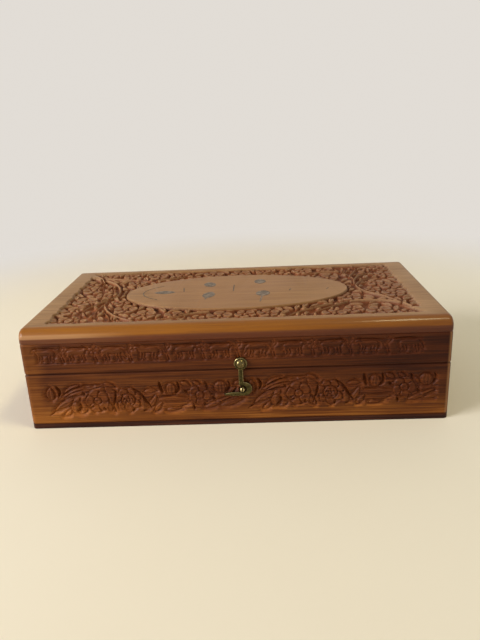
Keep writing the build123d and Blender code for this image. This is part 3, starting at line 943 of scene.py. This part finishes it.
for x, y, radius, turn in (
    (-104, 17, 9.0, 0.3), (-102.5, -11, 9.2, 0.9), (-107.5, -51, 7.8, 0.2), (-96, -53, 6.3, 0.7),
    (-109, 31.5, 6.0, 0.5), (-93, 3, 6.5, 0.0), (-106, -31, 8.3, 0.4), (-76, -17, 6.0, 0.5),
    (-71, -31, 8.3, 0.2), (-57, -43, 8.5, 0.6), (-37, -46, 7.8, 0.1), (-9, -50, 8.7, 0.3),
    (7, -48, 7.2, 0.8), (-23, -53, 6.0, 0.4), (-75, 32, 7.6, 0.2), (-62, 50, 8.1, 0.5),
    (-46, 38, 5.8, 0.2), (-19, 50.5, 8.3, 0.3), (2, 51, 8.3, 0.8), (-84, 54, 6.7, 0.1),
    (66, 29.5, 8.7, 0.3), (49, 51.5, 8.5, 0.6), (96, 49, 7.2, 0.2), (108, 36, 7.2, 0.5),
    (97, 13, 7.2, 0.4), (106, 4, 8.1, 0.1), (75, -19, 8.5, 0.5), (105, -14, 8.3, 0.3),
    (89, -49, 8.7, 0.7), (61, -52, 8.1, 0.2), (37, -55.5, 6.3, 0.5), (21, -47, 7.6, 0.4),
    (107, 54, 6.7, 0.9), (19, 54.5, 6.5, 0.1), (74, -45, 7.2, 0.9), (-100, 53, 6.0, 0.4),
    (-44, 54, 6.5, 0.2), (93, -3, 6.0, 0.6), (66, 54.5, 6.0, 0.8), (104, -54, 5.8, 0.3),
    (-88, 14, 5.4, 0.1), (76, 5, 4.7, 0.6), (-33, 42.5, 5.6, 0.8), (33, 44, 5.6, 0.2),
    (-70, -54, 5.4, 0.5),
):
    garden.flower(x, y, radius, turn, petals=5 if radius > 5 else 4, under=True)
garden.fill_gaps(room - 0.9, ((11.5, 4.8), (9.0, 4.2), (7.0, 3.6)), 2.6, 6, 0.93)
clear = (room > 0.25) & (from_oval > 1.1)
height = np.where(room > 0, np.maximum(garden.ground, np.where(clear, garden.form, -99)), 0)
height = garden.worn(height, 3)
hollow = garden.hollows(height)
height = height - 0.07 * smoothstep(-from_oval, 0, 0.8)

# The flat top is pale, with a painted grey sheen towards its ends, its right and its back. The
# rounded edge is honey-coloured, with painted shade and a painted mauve reflection below its crest
# and painted shade towards the right; its lip is dark and red, with a painted highlight at the
# left. The field reddens with its depth, and painted shade darkens its deep ground and its right.
tones = ((0.2, 0.085, 0.026, 1), (0.29, 0.137, 0.044, 1), (0.365, 0.185, 0.068, 1))
board_wood, shader, place, colour, grain = wood("board_wood", 0, tones, streak=0.8)
x, y, z = place.axes()
edge = abs(y).step(0.0628, 0.0645).either(abs(x).step(0.1255, 0.1275))
top = 1 - edge
# Painted sheen: the top is paler and greyer towards its ends, and towards its right and back.
colour = colour.wash(abs(x).step(0.03, 0.125) * top, (1.08, 1.2, 1.45, 1))
colour = colour.wash(x.step(0.02, 0.12).either(y.step(0.02, 0.06)) * top, (1.04, 1.09, 1.26, 1))
colour = (edge * 0.5).mix(colour, tones[1])
colour = colour.wash(edge, (0.91, 0.62, 0.01, 1))
# Painted shade and a painted mauve reflection darken the rounded edge below its crest; the lip is
# redder and darker except at the left end.
colour = colour.wash(edge * z.step(0.0608, 0.0592), (0.49, 0.39, 14.0, 1))
lip = edge * z.step(0.0594, 0.0582)
colour = colour.wash(lip * x.step(-0.09, -0.04), (0.88, 0.68, 0.35, 1))
# Painted highlight: a pale band along the lower edge at the front left.
painted_lip_highlight = z.step(0.0588, 0.0597) * z.step(0.0622, 0.0612)
painted_lip_highlight = painted_lip_highlight * x.step(-0.055, -0.1) * y.step(-0.055, -0.064)
colour = (painted_lip_highlight * 0.75).mix(colour, (0.43, 0.215, 0.085, 1))
# Painted shade: the rounded edge darkens towards the right.
colour = colour.wash(edge * x.step(-0.06, 0.1) * 0.6, (0.6, 0.52, 0.5, 1))
deep = place.carved("depth") * -1.0
colour = colour.wash(deep.step(0.05, 0.3), (0.98, 1.02, 1.1, 1))
# The deep ground is redder, as unpolished wood, and darker with painted shade.
colour = colour.wash(deep.step(0.7, 1.8), (0.8, 0.45, 0.32, 1))
# The field's cuts darken with wax and painted shade, and its ridges lighten with wear and a painted
# highlight.
field_wax_and_shade_colour, wear_and_highlight = (0.035, 0.009, 0.004, 1), (0.38, 0.19, 0.085, 1)
colour, rough = carve_colour(colour, place, field_wax_and_shade_colour, wear_and_highlight, 0.9, low=0.2, high=1.6)
# Painted shade, a little blue, on the right of the field's cuts.
colour = colour.wash(deep.step(0.1, 0.5) * x.step(0.03, 0.09), (0.86, 0.85, 0.93, 1))
chips = place.noise((1, 1, 1), 0.0017, 3.0, 0.6)
cut = deep.step(0.3, 0.9)
colour = colour.wash(cut * chips.step(0.52, 0.4) * 0.5, (0.62, 0.5, 0.42, 1))
oil(shader, colour, grain + chips * cut * 0.8, rough)
shader.inputs["Specular IOR Level"].default_value = 0.2
shader.inputs["Coat Roughness"].default_value = 0.13
link(shader, Coat_Weight=edge * 0.28)


def arc_rows(start, end, count):
    """Outward directions at even steps round a rounded-over edge, in degrees from start to end."""
    angles = [radians(start + (end - start) * k / count) for k in range(count + 1)]
    return [(cos(angle), sin(angle)) for angle in angles]


lip_inset = 0.4
foot = [(lip_inset, 0.0), (0.1, 0.3), (0.0, 0.8)]
profile = [(inset - half_depth, lid_board_low + rise, -1, 0) for inset, rise in foot]
front_edge, back_edge = arc_rows(180, 90, 10)[:-1], arc_rows(90, 0, 10)[1:]
profile += [(round_over * a - flat_y, crest + round_over * b, a, b) for a, b in front_edge]
first_row = len(profile)
profile += [(y, board_top, 0, 1) for y in garden.y[:, 0]]
profile += [(round_over * a + flat_y, crest + round_over * b, a, b) for a, b in back_edge]
profile += [(half_depth - inset, lid_board_low + rise, 1, 0) for inset, rise in reversed(foot)]
profile = np.array(profile)
flat = np.zeros((len(profile), garden.x.shape[1], 3))
flat[..., 0] = garden.x[0]
flat[..., 1] = profile[:, 0, None]
flat[..., 2] = profile[:, 1, None]
carved = slice(first_row, first_row + garden.x.shape[0])
flat[carved, :, 2] += height
sides = []
for angle in (15, 30, 45, 60, 75, 90):
    inset = corner * (1 - cos(radians(angle)))
    place = np.zeros((len(profile), 3))
    place[:, 0] = flat_length + corner * sin(radians(angle))
    place[:, 1:] = profile[:, :2] - profile[:, 2:] * inset
    place[:, 2] = place[:, 2].clip(lid_board_low)
    sides.append(place[:, None])
for level, inset in ((0.5, 0.0), (0.0, lip_inset)):
    place = sides[-1].copy()
    place[..., 0] = half_length - inset
    place[..., 2] = np.minimum(place[..., 2], lid_board_low + level)
    sides.append(place)
sides[-1][..., 1] = sides[-1][..., 1].clip(lip_inset - flat_depth, flat_depth - lip_inset)
right = np.concatenate(sides, 1)
left = right[:, ::-1] * (-1, 1, 1)
places = np.concatenate([left, flat, right], 1)
hollows, depths = np.zeros(places.shape[:2]), np.zeros(places.shape[:2])
hollows[carved, len(sides):-len(sides)] = hollow
depths[carved, len(sides):-len(sides)] = height
board = carved_net("carved_lid_board", places, hollows, depths)
bpy.ops.object.mode_set(mode="EDIT")
bpy.ops.mesh.select_all(action="SELECT")
bpy.ops.mesh.region_to_loop()
bpy.ops.mesh.edge_face_add()
finish_mesh(board)
# When the full net has more than 95,000 points, it is thinned to 47 per cent of its triangles.
# The full net is thinned, to keep the board under 200,000 triangles.
most_points, kept = 95000, 0.47
if len(board.data.vertices) > most_points:
    bpy.context.view_layer.objects.active = board
    thin = board.modifiers.new("thin", "DECIMATE")
    thin.ratio = kept
    bpy.ops.object.modifier_apply(modifier=thin.name)
    bpy.ops.object.shade_smooth_by_angle(angle=sharp_edge)
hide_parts("lid_top_board")
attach(board, "lid")
board.data.materials.append(board_wood)


# ---- inlay ----
# Five leaves cut from sheet brass and fine brass wires, hammered into the oval and filed flush.
# The leaves have tarnished grey-green, and most wires have nearly gone from sight.
inlay_brass = brass(
    "inlay_brass", (0.21, 0.138, 0.078, 1), (0.105, 0.07, 0.04, 1), 0.5, 0.35, 0.003
)
wire_brass = brass("wire_brass", (0.12, 0.09, 0.05, 1), (0.06, 0.045, 0.028, 1), 0.55, 0.5, 0.006)
paint(inlay_brass, *[name for name in nodes if name.startswith("inlay_leaf")])
paint(wire_brass, "inlay_wires")


# ---- latch ----
# A cast brass hook on a round-headed screw in the lid; its catch drops over a slotted screw in
# the base. The brass is olive with age; the small bevel round its front is brighter, partly rubbed
# and partly a painted highlight, and the slotted screw's head has a painted highlight on its crown.
latch_brass = brass(
    "latch_brass", (0.1, 0.08, 0.027, 1), (0.04, 0.033, 0.011, 1), 0.34, 0.9, 0.0025
)
# The bevel's brighter brass is wear and a painted highlight.
rim_wear_and_highlight_brass = brass(
    "rim_wear_and_highlight_brass", (0.34, 0.27, 0.13, 1), (0.15, 0.12, 0.05, 1), 0.28, 0.95, 0.003
)
screw_brass = brass("screw_brass", (0.22, 0.165, 0.07, 1), (0.1, 0.078, 0.03, 1), 0.3, 0.95, 0.003)
paint(screw_brass, "latch_pivot_screw")
# The stud's head: a painted highlight on its crown, and painted shade on its flanks and in its
# slot.
stud_brass, shader, place = material("stud_brass", Metallic=0.95, Roughness=0.3)
painted_crown_highlight = place.axes()[1].step(-0.07275, -0.0729)
link(shader, Base_Color=painted_crown_highlight.mix((0.05, 0.04, 0.015, 1), (0.5, 0.4, 0.2, 1)))
paint(stud_brass, "latch_stud")
bevel_width, bevel_drop = 0.28, 0.25
bpy.context.view_layer.objects.active = nodes["latch_hook"]
nodes["latch_hook"].select_set(True)
bpy.ops.object.duplicate()
hook = bpy.context.object
hook.name = hook.data.name = "cast_latch_hook"
bpy.ops.object.mode_set(mode="EDIT")
bpy.ops.mesh.select_all(action="SELECT")
bpy.ops.mesh.remove_doubles(threshold=0.000005)
bpy.ops.mesh.select_all(action="DESELECT")
bpy.ops.object.mode_set(mode="OBJECT")
for metal in (latch_brass, rim_wear_and_highlight_brass):
    hook.data.materials.append(metal)
hook.data.materials.pop(index=0)
for face in hook.data.polygons:
    face.select = face.normal.y < -0.7
bpy.ops.object.mode_set(mode="EDIT")
hook.active_material_index = 1
bpy.ops.object.material_slot_assign()
bpy.ops.mesh.inset(thickness=bevel_width * mm)
hook.active_material_index = 0
bpy.ops.object.material_slot_assign()
bpy.ops.mesh.select_more()
bpy.ops.mesh.region_to_loop()
bpy.ops.transform.translate(value=(0, bevel_drop * mm, 0))
bpy.ops.object.mode_set(mode="OBJECT")
bpy.ops.object.shade_smooth_by_angle(angle=radians(30))
bpy.ops.object.select_all(action="DESELECT")
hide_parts("latch_hook")
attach(hook, "hook")
